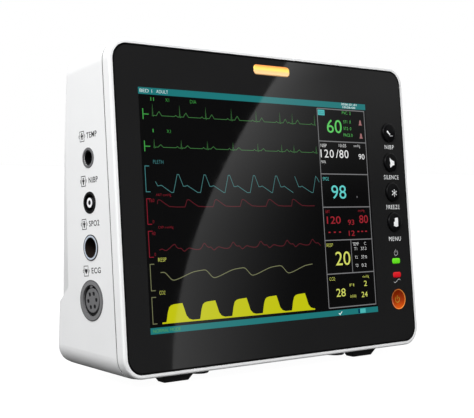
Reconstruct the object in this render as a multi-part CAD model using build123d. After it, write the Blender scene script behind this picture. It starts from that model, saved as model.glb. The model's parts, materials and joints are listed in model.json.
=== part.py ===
"""A small bedside patient monitor: a tilted 8.4 inch display behind a flush black panel, a white two-piece
casing, a column of five keys, two indicators, an alarm bar and four patient sockets on the left side.

World frame: +X to the right as seen from the front, +Y to the rear, +Z up, origin under the middle of the
casing on the surface that the feet stand on. Millimetres.

Front frame: the panel leans back by TILT. Pieces behind the panel are drawn in a frame whose origin is the
middle of the panel's outer face, with x to the right, y into the casing and z up the panel.
"""

import os
from math import cos, radians, sin, tan

from build123d import *

# ---------------------------------------------------------------- driving dimensions
TILT = 6.9  # the panel leans back by this many degrees
FOOT_H = 4.3  # height of every foot, and so of the casing's underside
BASE_DEPTH = 66.0  # front lower edge to rear wall, at the base
REAR_LEAN = 1.6  # the rear wall leans forward by this many degrees
WALL = 2.5  # casing wall

PANEL_W, PANEL_H, PANEL_R = 217.0, 169.0, 9.0  # flush front panel
BORDER = 2.25  # white rim round the panel
BEZEL_DEPTH = 5.6  # rim's depth at the side, up to the seam
SEAM = 0.8  # width of the seam between the two casing halves
RIM_PROUD = 0.25  # rim in front of the panel
PANEL_GAP = 0.15  # clearance round the panel

SCREEN_W, SCREEN_H = 170.4, 127.8  # active area of an 8.4 inch 4:3 display
SCREEN_X, SCREEN_Z = -6.5, -1.1  # its middle, in the front frame

# depths in the front frame, from the panel's outer face
PANEL_T = 1.8
PRINT_T = 0.3
FLOOR_Y0, FLOOR_Y1 = 2.2, 4.4  # bezel floor that carries the panel
TONGUE_Y1 = 8.4  # bezel tongue that enters the rear case
LCD_Y0, LCD_Y1 = 2.4, 8.6
KEY_BOARD_Y = 9.0
CHASSIS_Y, CHASSIS_T = 10.2, 1.0
MAIN_BOARD_Y = 16.0
BOARD_T = 1.6

LCD_W, LCD_H = 184.0, 143.0
KEY_X = 95.0  # key column
KEY_PITCH = 18.6
TOP_KEY_Z = 45.3
KEY_R, POWER_R = 5.85, 6.35
KEY_GAP = 0.25  # clearance round a key
KEY_FLANGE_R = 7.0
KEY_TRAVEL = 0.8
POWER_KEY_Z = -58.3
GREEN_LED_Z, RED_LED_Z = -34.6, -43.2
LED_W, LED_H, LED_R = 7.2, 3.4, 1.2
ALARM_Z, ALARM_W, ALARM_H, ALARM_R = 77.5, 27.5, 5.7, 2.2

# patient sockets on the left wall: world y and z of each axis
TEMP_AT = (4.0, 116.0)
NIBP_AT = (1.9, 92.8)
SPO2_AT = (0.0, 69.6)
ECG_AT = (-1.5, 42.3)

# ---------------------------------------------------------------- derived values
BEZEL_W, BEZEL_H = PANEL_W + 2 * BORDER, PANEL_H + 2 * BORDER
BEZEL_R = PANEL_R + BORDER
T = radians(TILT)
LEAN = radians(REAR_LEAN)
REAR_Y = BASE_DEPTH / 2
PANEL_Y = -BASE_DEPTH / 2 + BEZEL_H / 2 * sin(T)
SEAM_Y1 = BEZEL_DEPTH + SEAM
PANEL_Z = FOOT_H + BEZEL_H / 2 * cos(T) + SEAM_Y1 * sin(T)
SIDE_X = BEZEL_W / 2
FRONT = Location((0, PANEL_Y, PANEL_Z), (-TILT, 0, 0))
KEY_ZS = [TOP_KEY_Z - i * KEY_PITCH for i in range(4)] + [POWER_KEY_Z]
KEY_RS = [KEY_R] * 4 + [POWER_R]
KEY_NAMES = ["nibp", "silence", "freeze", "menu", "power"]


def rear_y(z):
    """World y of the rear wall's outer face at height z."""
    return REAR_Y - (z - FOOT_H) * tan(LEAN)


def save(name, shape):
    """Write one node's STEP file."""
    os.makedirs("parts", exist_ok=True)
    export_step(shape, f"parts/{name}.step")


def slab(outline, y0, y1):
    """An X-Z outline made solid from depth y0 to y1."""
    plane = Plane(origin=(0, y0, 0), x_dir=(1, 0, 0), z_dir=(0, -1, 0))
    return extrude(plane * outline, amount=-(y1 - y0))


def disc(x, z, r, y0, y1):
    """A cylinder along Y."""
    return slab(Pos(x, z) * Circle(r), y0, y1)


def block(x0, x1, y0, y1, z0, z1):
    """A box given by its limits."""
    return Pos((x0 + x1) / 2, (y0 + y1) / 2, (z0 + z1) / 2) * Box(x1 - x0, y1 - y0, z1 - z0)


def side_disc(at, r, depth0, depth1):
    """A cylinder along X at a socket's axis; depths run inwards from the left wall's face."""
    length = depth1 - depth0
    place = Location((-SIDE_X + depth0 + length / 2, at[0], at[1]), (0, 90, 0))
    return place * Cylinder(r, length)


def front(shape):
    """Carry a shape from the front frame to the world frame."""
    return FRONT * shape


# ---------------------------------------------------------------- casing
def seam_plane(y):
    """The plane at depth y of the front frame, in the world frame."""
    origin = FRONT * Location((0, y, 0))
    return Plane(origin=origin.position, x_dir=(1, 0, 0), z_dir=(0, -cos(T), sin(T)))


REAR_TOP_Z = FOOT_H + 165.7  # top of the rear outline


def rear_plane(inset):
    """The rear wall's plane, moved inwards by inset, with its origin at the middle of the rear outline."""
    mid = (FOOT_H + REAR_TOP_Z) / 2
    y = rear_y(mid) - inset * cos(LEAN)
    z = mid - inset * sin(LEAN)
    return Plane(origin=(0, y, z), x_dir=(1, 0, 0), z_dir=(0, -cos(LEAN), -sin(LEAN)))


def casing_block(inset, rear_round):
    """The rear casing's volume between the seam and the rear wall, shrunk by inset."""
    rear_h = (REAR_TOP_Z - FOOT_H) / cos(LEAN)
    r = BEZEL_R - inset
    near = seam_plane(SEAM_Y1) * RectangleRounded(BEZEL_W - 2 * inset, BEZEL_H - 2 * inset, r)
    far = rear_plane(inset) * RectangleRounded(BEZEL_W - 2 * inset, rear_h - 2 * inset, r)
    body = loft([near.face(), far.face()], ruled=True)
    edges = body.faces().sort_by(Axis.Y)[-1].edges()
    return fillet(edges, rear_round)


REAR_ROUND = 3.0  # edges round the rear wall
HEEL = 9.2  # rear lower edge
CUT_TOP, CUT_LOW = 156.0, 45.0  # the rear corners' tapered flats start and are widest at these heights
CUT_SIDE, CUT_BACK = 10.4, 3.3  # their width on the side and on the rear wall at CUT_LOW
STEP_Z = 36.5  # below this the base keeps its full corners; a 45 degree step leads up to the flats


def corner_flat():
    """Cutter for the left rear corner: a slanted flat that ends in a 45 degree step."""
    top = Vector(-SIDE_X, rear_y(CUT_TOP), CUT_TOP)
    on_side = Vector(-SIDE_X, rear_y(CUT_LOW) - CUT_SIDE, CUT_LOW)
    on_back = Vector(-SIDE_X + CUT_BACK, rear_y(CUT_LOW), CUT_LOW)
    normal = (on_back - top).cross(on_side - top)
    outward = normal if normal.Y > 0 else normal * -1
    flat = Plane(origin=top, x_dir=on_side - top, z_dir=outward) * Pos(0, 0, 20) * Box(400, 400, 40)
    step = Plane(origin=(-SIDE_X, rear_y(STEP_Z), STEP_Z), x_dir=(1, 0, 0), z_dir=(0, 1, 1))
    return flat & (step * Pos(0, 0, 100) * Box(100, 300, 200))


def casing_outside():
    """The rear case's outside with its rounded heel and cut rear corners."""
    profile = Polyline((-120, FOOT_H), (REAR_Y, FOOT_H), (rear_y(240), 240), (-120, 240), close=True)
    face = make_face(profile)
    heel = face.vertices().sort_by_distance((REAR_Y, FOOT_H, 0))[0]
    face = fillet(heel, HEEL)
    side = Plane(origin=(-150, 0, 0), x_dir=(0, 1, 0), z_dir=(1, 0, 0))
    body = casing_block(0, REAR_ROUND) & extrude(side * face, amount=300)
    cut = corner_flat()
    return body - cut - mirror(cut, about=Plane.YZ)


TOP_SCREW = (98.0, 74.0)  # x and z in the front frame, mirrored in x
LOW_SCREW = (103.0, -66.0)
POST_R = 3.1
POST_Y1 = 24.0  # bezel posts meet the case's bosses here
SCREW_R = 1.5
SCREW_HEAD_R = 2.7
SCREW_Y1 = 36.0  # seat of the screw's head, in the front frame
SCREW_SPOTS = [(s * x, z) for x, z in (TOP_SCREW, LOW_SCREW) for s in (-1, 1)]

PAD_W = 92.0  # mounting pad on the rear
PAD_Z = 96.0
INSERT_PITCH = 75.0
INSERT_R, INSERT_BORE_R, INSERT_L = 3.2, 2.0, 7.0
INSERT_SPOTS = [(sx * INSERT_PITCH / 2, PAD_Z + sz * INSERT_PITCH / 2) for sx in (-1, 1) for sz in (-1, 1)]

INLET_X, INLET_Z = 84.0, 27.0
INLET_W, INLET_H, INLET_DEPTH = 27.0, 19.6, 21.0
FLANGE_W, FLANGE_H, FLANGE_T = 31.0, 23.4, 1.6
FLANGE_Y = 30.6  # seat of the rear connectors' flanges
LAN_X, LAN_Z = -60.0, 26.0
LAN_W, LAN_H, LAN_DEPTH = 16.0, 13.4, 18.0
STUD_X, STUD_Z, STUD_R = 56.0, 27.0, 3.0
STUD_POCKET_R, STUD_POCKET_DEPTH = 9.0, 11.0

SPEAKER_X, SPEAKER_Z, SPEAKER_R = 74.0, 138.0, 18.0
VENT_X, VENT_Z = -74.0, 138.0
SLOT_H, SLOT_PITCH = 2.2, 4.6

DOOR_X0, DOOR_X1, DOOR_Y0, DOOR_Y1 = -38.0, 40.0, -17.0, 21.0  # battery door, closed
DOOR_TRAVEL = 8.0
DOOR_GAP = 0.35
DOOR_Z0, DOOR_Z1 = FOOT_H, FOOT_H + 1.6
TONGUE_OUT, TONGUE_Z0, TONGUE_Z1 = 1.2, FOOT_H + 1.0, FOOT_H + 1.6


def slot_rows(x, z, widths):
    """Horizontal slots through the rear wall, one under another."""
    cuts = Part()
    for i, w in enumerate(widths):
        row_z = z + (i - (len(widths) - 1) / 2) * SLOT_PITCH
        cuts += slab(Pos(x, row_z) * SlotOverall(w, SLOT_H), 15, 45)
    return cuts


def rear_case():
    outside = casing_outside()
    case = outside - casing_block(WALL, 6.0)
    # screw bosses and the seats of the rear fittings
    bosses = Part()
    for x, z in SCREW_SPOTS:
        bosses += front(disc(x, z, POST_R + 0.9, POST_Y1 + 0.2, 80))
    for x, z in INSERT_SPOTS:
        bosses += disc(x, z, INSERT_R + 2.0, REAR_Y - INSERT_L - 2, 60)
    stud_seat = FLANGE_Y - STUD_POCKET_DEPTH
    bosses += disc(STUD_X, STUD_Z, STUD_POCKET_R + 1.6, stud_seat - 1.8, 60)
    case += bosses & outside
    pad = slab(Pos(0, PAD_Z) * RectangleRounded(PAD_W, PAD_W, 6), rear_y(PAD_Z) - 1.2, REAR_Y)
    case += pad - casing_block(WALL, 6.0)
    # holes along the front frame's depth for the case screws
    for x, z in SCREW_SPOTS:
        case -= front(disc(x, z, SCREW_R + 0.25, POST_Y1, SCREW_Y1 + 1))
        case -= front(disc(x, z, SCREW_HEAD_R + 0.3, SCREW_Y1, 90))
    for x, z in INSERT_SPOTS:
        case -= disc(x, z, INSERT_R, REAR_Y - INSERT_L, 60)
    # rear sockets
    case -= block(
        INLET_X - INLET_W / 2, INLET_X + INLET_W / 2, 0, 60, INLET_Z - INLET_H / 2, INLET_Z + INLET_H / 2
    )
    flange = Pos(INLET_X, INLET_Z) * RectangleRounded(FLANGE_W + 0.4, FLANGE_H + 0.4, 2.2)
    case -= slab(flange, FLANGE_Y, 60)
    case -= block(LAN_X - LAN_W / 2, LAN_X + LAN_W / 2, 0, 60, LAN_Z - LAN_H / 2, LAN_Z + LAN_H / 2)
    case -= disc(STUD_X, STUD_Z, STUD_POCKET_R, stud_seat, 60)
    case -= disc(STUD_X, STUD_Z, STUD_R + 0.05, stud_seat - 5, 60)
    # speaker grille and vents
    case -= slot_rows(SPEAKER_X, SPEAKER_Z, [18, 27, 31, 33, 31, 27, 18])
    case -= slot_rows(VENT_X, VENT_Z, [44] * 7)
    # patient sockets
    for at, r in ((TEMP_AT, 4.1), (NIBP_AT, 5.3), (SPO2_AT, 5.9), (ECG_AT, 9.3)):
        case -= side_disc(at, r + 0.05, -2, 6)
    # battery door: opening, recess and the grooves that its tongues run in
    case -= block(DOOR_X0 + 3, DOOR_X1 - 3, DOOR_Y0 + 2, DOOR_Y1 - 2, 0, 12)
    recess = (DOOR_X0 - DOOR_GAP, DOOR_X1 + DOOR_TRAVEL + DOOR_GAP)
    case -= block(*recess, DOOR_Y0 - DOOR_GAP, DOOR_Y1 + DOOR_GAP, 0, DOOR_Z1 + DOOR_GAP)
    groove = TONGUE_OUT + DOOR_GAP
    case -= block(*recess, DOOR_Y0 - groove, DOOR_Y1 + groove, TONGUE_Z0 - DOOR_GAP, DOOR_Z1 + DOOR_GAP)
    return case


def front_bezel():
    """White front half: rim, floor behind the panel, tongue into the rear case and screw posts."""
    rim = slab(RectangleRounded(BEZEL_W, BEZEL_H, BEZEL_R), -RIM_PROUD, BEZEL_DEPTH)
    rim = fillet(rim.faces().sort_by(Axis.Y)[0].edges(), 1.1)
    pocket_w, pocket_h = PANEL_W + 2 * PANEL_GAP, PANEL_H + 2 * PANEL_GAP
    rim -= slab(RectangleRounded(pocket_w, pocket_h, PANEL_R + PANEL_GAP), -5, FLOOR_Y0)
    tongue_w, tongue_h = BEZEL_W - 2 * (WALL + 0.15), BEZEL_H - 2 * (WALL + 0.7)
    tongue = RectangleRounded(tongue_w, tongue_h, BEZEL_R - WALL)
    hollow = RectangleRounded(tongue_w - 3.2, tongue_h - 3.2, BEZEL_R - WALL - 1.6)
    rim += slab(tongue, BEZEL_DEPTH, TONGUE_Y1)
    rim -= slab(hollow, FLOOR_Y1, 20)
    for x, z in SCREW_SPOTS:
        rim += disc(x, z, POST_R, FLOOR_Y1 - 0.5, POST_Y1)
        rim -= disc(x, z, SCREW_R - 0.2, 12, 30)
    rim -= slab(Pos(SCREEN_X, SCREEN_Z) * Rectangle(LCD_W + 1.2, LCD_H + 1.2), 0, 20)
    for z in KEY_ZS:
        rim -= disc(KEY_X, z, KEY_FLANGE_R + 0.4, 0, 20)
    for z in (GREEN_LED_Z, RED_LED_Z):
        rim -= slab(Pos(KEY_X, z) * Rectangle(LED_W + 1.6, LED_H + 1.6), 0, 20)
    rim -= slab(Pos(0, ALARM_Z) * RectangleRounded(ALARM_W + 1.6, ALARM_H + 1.6, ALARM_R + 0.8), 0, 20)
    return front(rim)


def panel_openings(gap):
    """Outlines of the key, indicator and alarm openings."""
    cuts = Sketch()
    for z, r in zip(KEY_ZS, KEY_RS):
        cuts += Pos(KEY_X, z) * Circle(r + KEY_GAP)
    for z in (GREEN_LED_Z, RED_LED_Z):
        cuts += Pos(KEY_X, z) * RectangleRounded(LED_W + 2 * gap, LED_H + 2 * gap, LED_R + gap)
    cuts += Pos(0, ALARM_Z) * RectangleRounded(ALARM_W + 2 * gap, ALARM_H + 2 * gap, ALARM_R + gap)
    return cuts


def front_panel():
    """Clear hard-coated sheet, flush with the rim."""
    sheet = RectangleRounded(PANEL_W, PANEL_H, PANEL_R) - panel_openings(0.1)
    return front(slab(sheet, 0, PANEL_T))


def panel_print():
    """Black film on the sheet's back, open over the display's active area."""
    film = RectangleRounded(PANEL_W - 0.4, PANEL_H - 0.4, PANEL_R - 0.2) - panel_openings(0.1)
    film -= Pos(SCREEN_X, SCREEN_Z) * Rectangle(SCREEN_W + 2.4, SCREEN_H + 2.4)
    return front(slab(film, PANEL_T, PANEL_T + PRINT_T))


def seam_gasket():
    """Dark seal in the seam, set back from the outside."""
    out, thick = 0.45, 1.9
    ring = RectangleRounded(BEZEL_W - 2 * out, BEZEL_H - 2 * out, BEZEL_R - out)
    inside = out + thick
    ring -= RectangleRounded(BEZEL_W - 2 * inside, BEZEL_H - 2 * inside, BEZEL_R - inside)
    return front(slab(ring, BEZEL_DEPTH, SEAM_Y1))


# ---------------------------------------------------------------- keys and indicators
SWITCH_Y0, SWITCH_H = 5.8, 3.2  # tact switch housing, front face and height
PLUNGER_R, PLUNGER_Y0, PLUNGER_Y1 = 1.5, 4.6, 6.6
CROWN_Y, CROWN_RISE = -2.0, 0.6  # depth of a key's crowned middle, and how far its rim lies below that
DISH_Y, DISH_DEPTH = -0.15, 1.3  # depth of the power key's rim, and of the dish in it


def key_stem(z):
    """A key's flange behind the panel, and its stem down to the plunger."""
    return disc(KEY_X, z, KEY_FLANGE_R, 2.4, 3.2) + disc(KEY_X, z, 2.0, 3.2, PLUNGER_Y0)


def key_cap(z):
    """Round crowned key, proud of the panel."""
    crown_r = (KEY_R**2 + CROWN_RISE**2) / (2 * CROWN_RISE)
    cap = disc(KEY_X, z, KEY_R, CROWN_Y - 0.5, 2.4) & (Pos(KEY_X, CROWN_Y + crown_r, z) * Sphere(crown_r))
    cap = fillet(cap.edges().filter_by(GeomType.CIRCLE).sort_by(Axis.Y)[0], 0.6)
    return front(cap + key_stem(z))


def power_cap(z):
    """Round dished key, level with the panel."""
    dish_r = (POWER_R**2 + DISH_DEPTH**2) / (2 * DISH_DEPTH)
    cap = disc(KEY_X, z, POWER_R, DISH_Y, 2.4)
    cap = fillet(cap.faces().sort_by(Axis.Y)[0].edges(), 0.3)
    cap -= Pos(KEY_X, DISH_Y + DISH_DEPTH - dish_r, z) * Sphere(dish_r)
    return front(cap + key_stem(z))


def plunger(z):
    return front(disc(KEY_X, z, PLUNGER_R, PLUNGER_Y0, PLUNGER_Y1))


def tact_switches():
    """Five switch housings on the key board."""
    group = Part()
    for z in KEY_ZS:
        body = slab(Pos(KEY_X, z) * Rectangle(6, 6), SWITCH_Y0, SWITCH_Y0 + SWITCH_H)
        body -= disc(KEY_X, z, PLUNGER_R + 0.3, 0, SWITCH_Y0 + 2.2)
        group += body
    return front(group)


def key_board():
    board = Pos(KEY_X, -2.2) * Rectangle(17, 120)
    board -= Pos(KEY_X - 6, 50) * Circle(1.6)
    board -= Pos(KEY_X + 6, -28) * Circle(1.6)
    return front(slab(board, KEY_BOARD_Y, KEY_BOARD_Y + BOARD_T))


def indicator_leds():
    """Two lamps on the key board and three on the alarm board."""
    group = Part()
    for z in (GREEN_LED_Z, RED_LED_Z):
        group += slab(Pos(KEY_X, z) * Rectangle(3.5, 2.8), KEY_BOARD_Y - 1.9, KEY_BOARD_Y)
    for x in (-8, 0, 8):
        group += slab(Pos(x, ALARM_Z) * Rectangle(3.5, 2.8), 5.2, 6.4)
    return front(group)


def led_lens(z):
    """Light guide of one indicator, a little proud of the panel."""
    face = slab(Pos(KEY_X, z) * RectangleRounded(LED_W, LED_H, LED_R), -0.2, 3.0)
    face = fillet(face.faces().sort_by(Axis.Y)[0].edges(), 0.5)
    return front(face + slab(Pos(KEY_X, z) * Rectangle(4, 3), 3.0, 6.6))


def alarm_lens():
    """Alarm light bar with rounded edges, a little proud of the panel."""
    bar = slab(Pos(0, ALARM_Z) * RectangleRounded(ALARM_W, ALARM_H, ALARM_R), -0.25, 4.6)
    return front(fillet(bar.faces().sort_by(Axis.Y)[0].edges(), 0.7))


def alarm_board():
    return front(slab(Pos(0, ALARM_Z) * Rectangle(34, 8), 6.4, 7.6))


# ---------------------------------------------------------------- display and chassis
def lcd_frame():
    """Pressed metal frame of the display module."""
    shell = slab(Pos(SCREEN_X, SCREEN_Z) * Rectangle(LCD_W, LCD_H), LCD_Y0, LCD_Y1)
    shell -= slab(Pos(SCREEN_X, SCREEN_Z) * Rectangle(LCD_W - 1, LCD_H - 1), LCD_Y0 + 0.4, LCD_Y1 + 1)
    shell -= slab(Pos(SCREEN_X, SCREEN_Z) * Rectangle(SCREEN_W + 1, SCREEN_H + 1), 0, 20)
    return front(shell)


def lcd_cell():
    cell = Pos(SCREEN_X, SCREEN_Z) * Rectangle(LCD_W - 1.4, LCD_H - 1.4)
    return front(slab(cell, LCD_Y0 + 0.4, LCD_Y0 + 2.0))


def lcd_backlight():
    tray = Pos(SCREEN_X, SCREEN_Z) * Rectangle(LCD_W - 1.4, LCD_H - 1.4)
    return front(slab(tray, LCD_Y0 + 2.0, LCD_Y1))


def chassis_plate():
    """Sheet-metal plate that carries the boards, with lightening windows and tabs to the display."""
    plate = Pos(SCREEN_X, 0) * Rectangle(180, 138)
    for x in (-66, 10):
        plate -= Pos(x, -48) * RectangleRounded(44, 26, 4)
    plate -= Pos(-66, 40) * RectangleRounded(44, 40, 4)
    sheet = slab(plate, CHASSIS_Y, CHASSIS_Y + CHASSIS_T)
    for x in (-92, 78):
        for z in (-60, 60):
            sheet += slab(Pos(x, z) * Rectangle(8, 8), LCD_Y1, CHASSIS_Y)
    return front(sheet)


MAIN_X0, MAIN_X1, MAIN_Z0, MAIN_Z1 = -30.0, 80.0, -24.0, 64.0


def standoffs():
    """Four pillars between the chassis and the main board."""
    group = Part()
    for x in (MAIN_X0 + 5, MAIN_X1 - 5):
        for z in (MAIN_Z0 + 5, MAIN_Z1 - 5):
            group += disc(x, z, 2.6, CHASSIS_Y + CHASSIS_T, MAIN_BOARD_Y)
    return front(group)


def main_board():
    mid_x, mid_z = (MAIN_X0 + MAIN_X1) / 2, (MAIN_Z0 + MAIN_Z1) / 2
    board = Pos(mid_x, mid_z) * Rectangle(MAIN_X1 - MAIN_X0, MAIN_Z1 - MAIN_Z0)
    return front(slab(board, MAIN_BOARD_Y, MAIN_BOARD_Y + BOARD_T))


def main_board_parts():
    """Heat sink with fins, memory and connectors."""
    back = MAIN_BOARD_Y + BOARD_T
    group = slab(Pos(10, 25) * Rectangle(26, 26), back, back + 1.4)
    for i in range(6):
        group += slab(Pos(-0.5 + i * 4.2, 25) * Rectangle(1.2, 26), back + 1.4, back + 4.6)
    group += slab(Pos(40, 30) * Rectangle(14, 20), back, back + 1.2)
    group += slab(Pos(20, -14) * Rectangle(40, 6), back, back + 4.0)
    group += slab(Pos(64, 10) * Rectangle(6, 30), back, back + 4.0)
    return front(group)


# ---------------------------------------------------------------- power, pneumatics, sound
def power_board():
    return block(50, 104, 21, 21 + BOARD_T, 48, 116)


def power_parts():
    """Transformer, two capacitors and a heat sink on the front of the power board."""
    group = block(58, 86, 6, 21, 52, 76)
    for x in (64, 80):
        group += Pos(x, 14, 88) * Rot(90, 0, 0) * Cylinder(6, 14)
    group += block(90, 94, 8, 21, 52, 110)
    return group


BAY_TOP = 48.0


def battery_pack():
    pack = block(DOOR_X0 + 5, DOOR_X1 - 5, DOOR_Y0 + 4, DOOR_Y1 - 4, FOOT_H + 2.0, BAY_TOP - 2.2)
    return fillet(pack.edges().filter_by(Axis.X), 3.0)


def battery_bay():
    """Plastic well over the battery, open below."""
    z0 = FOOT_H + WALL
    bay = block(DOOR_X0 + 2.5, DOOR_X1 - 2.5, DOOR_Y0 + 1.5, DOOR_Y1 - 1.5, z0, BAY_TOP)
    return bay - block(DOOR_X0 + 4, DOOR_X1 - 4, DOOR_Y0 + 3, DOOR_Y1 - 3, 0, BAY_TOP - 1.5)


def battery_door():
    """Sliding cover with two tongues and a ribbed thumb pad."""
    door = block(DOOR_X0, DOOR_X1, DOOR_Y0, DOOR_Y1, DOOR_Z0, DOOR_Z1)
    door += block(DOOR_X0 + 4, DOOR_X1, DOOR_Y0 - TONGUE_OUT, DOOR_Y1 + TONGUE_OUT, TONGUE_Z0, TONGUE_Z1)
    mid_y = (DOOR_Y0 + DOOR_Y1) / 2
    for i in range(5):
        x = DOOR_X0 + 8 + i * 3
        door -= block(x, x + 1.2, mid_y - 8, mid_y + 8, DOOR_Z0 - 1, DOOR_Z0 + 0.5)
    return door


PUMP_X, PUMP_Y, PUMP_R = -62.0, 8.0, 12.5
PUMP_Z0, PUMP_Z1 = 44.0, 98.0


def nibp_pump():
    """Air pump: motor, head and outlet nozzle."""
    motor = Pos(PUMP_X, PUMP_Y, (PUMP_Z0 + PUMP_Z1 - 18) / 2) * Cylinder(PUMP_R - 0.8, PUMP_Z1 - 18 - PUMP_Z0)
    head = Pos(PUMP_X, PUMP_Y, PUMP_Z1 - 9) * Cylinder(PUMP_R, 18)
    nozzle = Pos(PUMP_X, PUMP_Y, PUMP_Z1 + 4) * Cylinder(1.6, 8)
    shaft = Pos(PUMP_X, PUMP_Y, PUMP_Z0 - 1.5) * Cylinder(3.0, 3)
    return motor + head + nozzle + shaft


def nibp_valve():
    """Deflation valve: coil block with its yoke and spout."""
    body = block(-48, -36, 2, 16, 64, 84)
    return body + block(-46, -38, 4, 14, 84, 88) + Pos(-42, 9, 90) * Cylinder(1.6, 4)


TUBE_R, TUBE_BORE = 2.6, 1.75
NIPPLE_END = 19.0  # inner end of the cuff port's barb, in from the wall's face


def nibp_tube():
    """Silicone hose from the cuff port's barb to the pump's nozzle."""
    y, z = NIBP_AT
    route = [
        (-SIDE_X + NIPPLE_END - 5, y, z),
        (-81, y, z),
        (-79, 5, 114),
        (PUMP_X, PUMP_Y, 114),
        (PUMP_X, PUMP_Y, PUMP_Z1 + 2),
    ]
    path = FilletPolyline(*route, radius=[5.5, 7.0, 6.0])
    start = Plane(origin=path @ 0, z_dir=path % 0)
    ring = start * (Circle(TUBE_R) - Circle(TUBE_BORE))
    return sweep(ring, path=path)


def parameter_module():
    """Shielded measurement module for the patient signals."""
    can = block(-92, -42, 1, 14, 126, 154)
    return fillet(can.edges().filter_by(Axis.Y), 2.0) + block(-88, -60, 14, 17, 134, 138)


def speaker():
    """Round loudspeaker behind the grille: basket, magnet."""
    seat = rear_y(SPEAKER_Z + SPEAKER_R) - WALL - 0.4
    basket = disc(SPEAKER_X, SPEAKER_Z, SPEAKER_R, seat - 3, seat)
    basket += disc(SPEAKER_X, SPEAKER_Z, SPEAKER_R - 4, seat - 7, seat - 3)
    return basket + disc(SPEAKER_X, SPEAKER_Z, 9, seat - 13, seat - 7)


# ---------------------------------------------------------------- patient sockets
def socket_ring(at, r_out, r_in, proud, depth):
    """Flanged ring on the left wall: flange outside, threaded barrel through the wall."""
    ring = side_disc(at, r_out, -proud, 0)
    ring = fillet(ring.faces().sort_by(Axis.X)[0].edges(), min(0.5, proud * 0.6))
    return ring - side_disc(at, r_in, -10, depth + 5)


def temp_nut():
    return socket_ring(TEMP_AT, 5.35, 4.05, 0.3, 0)


TEMP_BORE_R = 3.2


def temp_jack():
    """6.35 mm jack for the temperature probe."""
    body = side_disc(TEMP_AT, 4.0, 0.3, 4) + side_disc(TEMP_AT, 5.6, WALL, 17)
    body -= side_disc(TEMP_AT, TEMP_BORE_R, -2, 15)
    return body


NIPPLE_R, NIPPLE_BORE = 2.6, 1.25


def nibp_collar():
    """Black collar of the cuff port, a deep ring-shaped recess round the nipple."""
    collar = side_disc(NIBP_AT, 5.75, -0.3, 0) + side_disc(NIBP_AT, 5.25, 0, 10)
    collar = fillet(collar.faces().sort_by(Axis.X)[0].edges(), 0.2)
    collar -= side_disc(NIBP_AT, 4.5, -3, 8.5)
    return collar - side_disc(NIBP_AT, 2.0, -3, 20)


def nibp_nipple():
    """Metal air nipple with a barb inside for the hose."""
    y, z = NIBP_AT
    stem = side_disc(NIBP_AT, NIPPLE_R, -0.1, 8.5) + side_disc(NIBP_AT, 1.95, 8.5, 12)
    stem += side_disc(NIBP_AT, 3.4, 10.0, 12.0) + side_disc(NIBP_AT, 1.7, 12, NIPPLE_END)
    return stem - side_disc(NIBP_AT, NIPPLE_BORE, -3, 25)


def spo2_ring():
    """Metal shell of the oximeter socket with its flange."""
    shell = side_disc(SPO2_AT, 6.8, -0.3, 0)
    shell = fillet(shell.faces().sort_by(Axis.X)[0].edges(), 0.2)
    shell += side_disc(SPO2_AT, 5.85, 0, 14)
    return shell - side_disc(SPO2_AT, 5.05, -3, 12.5)


def spo2_insert():
    """Dark insulator with a key rib and seven contact pins."""
    core = side_disc(SPO2_AT, 5.0, 9.5, 12.5)
    y, z = SPO2_AT
    core += Location((-SIDE_X + 5.5, y, z + 4.5)) * Box(8.0, 1.6, 0.9)
    pins = side_disc(SPO2_AT, 0.45, 5.0, 9.5)
    for spot in PolarLocations(2.8, 6):
        at = (y + spot.position.X, z + spot.position.Y)
        pins += side_disc(at, 0.45, 5.0, 9.5)
    return core + pins


ECG_RING_R, ECG_BORE_R, ECG_CORE_R = 10.7, 8.2, 6.35


def ecg_shell():
    """Grey flange and barrel of the heart-signal socket, with the rib that keys the plug."""
    shell = side_disc(ECG_AT, ECG_RING_R, -0.3, 0)
    shell = fillet(shell.faces().sort_by(Axis.X)[0].edges(), 0.2)
    shell += side_disc(ECG_AT, 9.25, 0, 16)
    shell -= side_disc(ECG_AT, ECG_BORE_R, -3, 14.5)
    y, z = ECG_AT
    turn = radians(12)
    rib = Location((-SIDE_X + 7.5, y + 7.6 * sin(turn), z + 7.6 * cos(turn)), (-12, 0, 0)) * Box(14, 2.0, 1.8)
    return shell + rib


def ecg_insert():
    """Grey core with six contact holes."""
    y, z = ECG_AT
    core = side_disc(ECG_AT, ECG_CORE_R, 0.3, 14.5)
    core = fillet(core.faces().sort_by(Axis.X)[0].edges(), 0.3)
    for spot in PolarLocations(3.8, 6, start_angle=11):
        at = (y - spot.position.X, z + spot.position.Y)
        core -= side_disc(at, 1.15, -1, 9)
    return core


# ---------------------------------------------------------------- rear fittings
def ac_inlet():
    """Mains inlet: flange, body and the recess for the lead's plug."""
    flange = slab(Pos(INLET_X, INLET_Z) * RectangleRounded(FLANGE_W, FLANGE_H, 2), FLANGE_Y, FLANGE_Y + FLANGE_T)
    body = slab(Pos(INLET_X, INLET_Z) * Rectangle(INLET_W - 0.3, INLET_H - 0.3), FLANGE_Y - INLET_DEPTH, FLANGE_Y)
    recess = RectangleRounded(24, 16.4, 1.5)
    recess = slab(Pos(INLET_X, INLET_Z) * recess, FLANGE_Y - 15, 60)
    return flange + body - recess


def ac_pins():
    """Three flat blades, the earth blade offset downwards."""
    group = Part()
    for dx, dz in ((-7, 2), (7, 2), (0, -2)):
        x, z = INLET_X + dx, INLET_Z + dz
        group += block(x - 1, x + 1, FLANGE_Y - 15, FLANGE_Y - 1, z - 2, z + 2)
    return group


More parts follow.
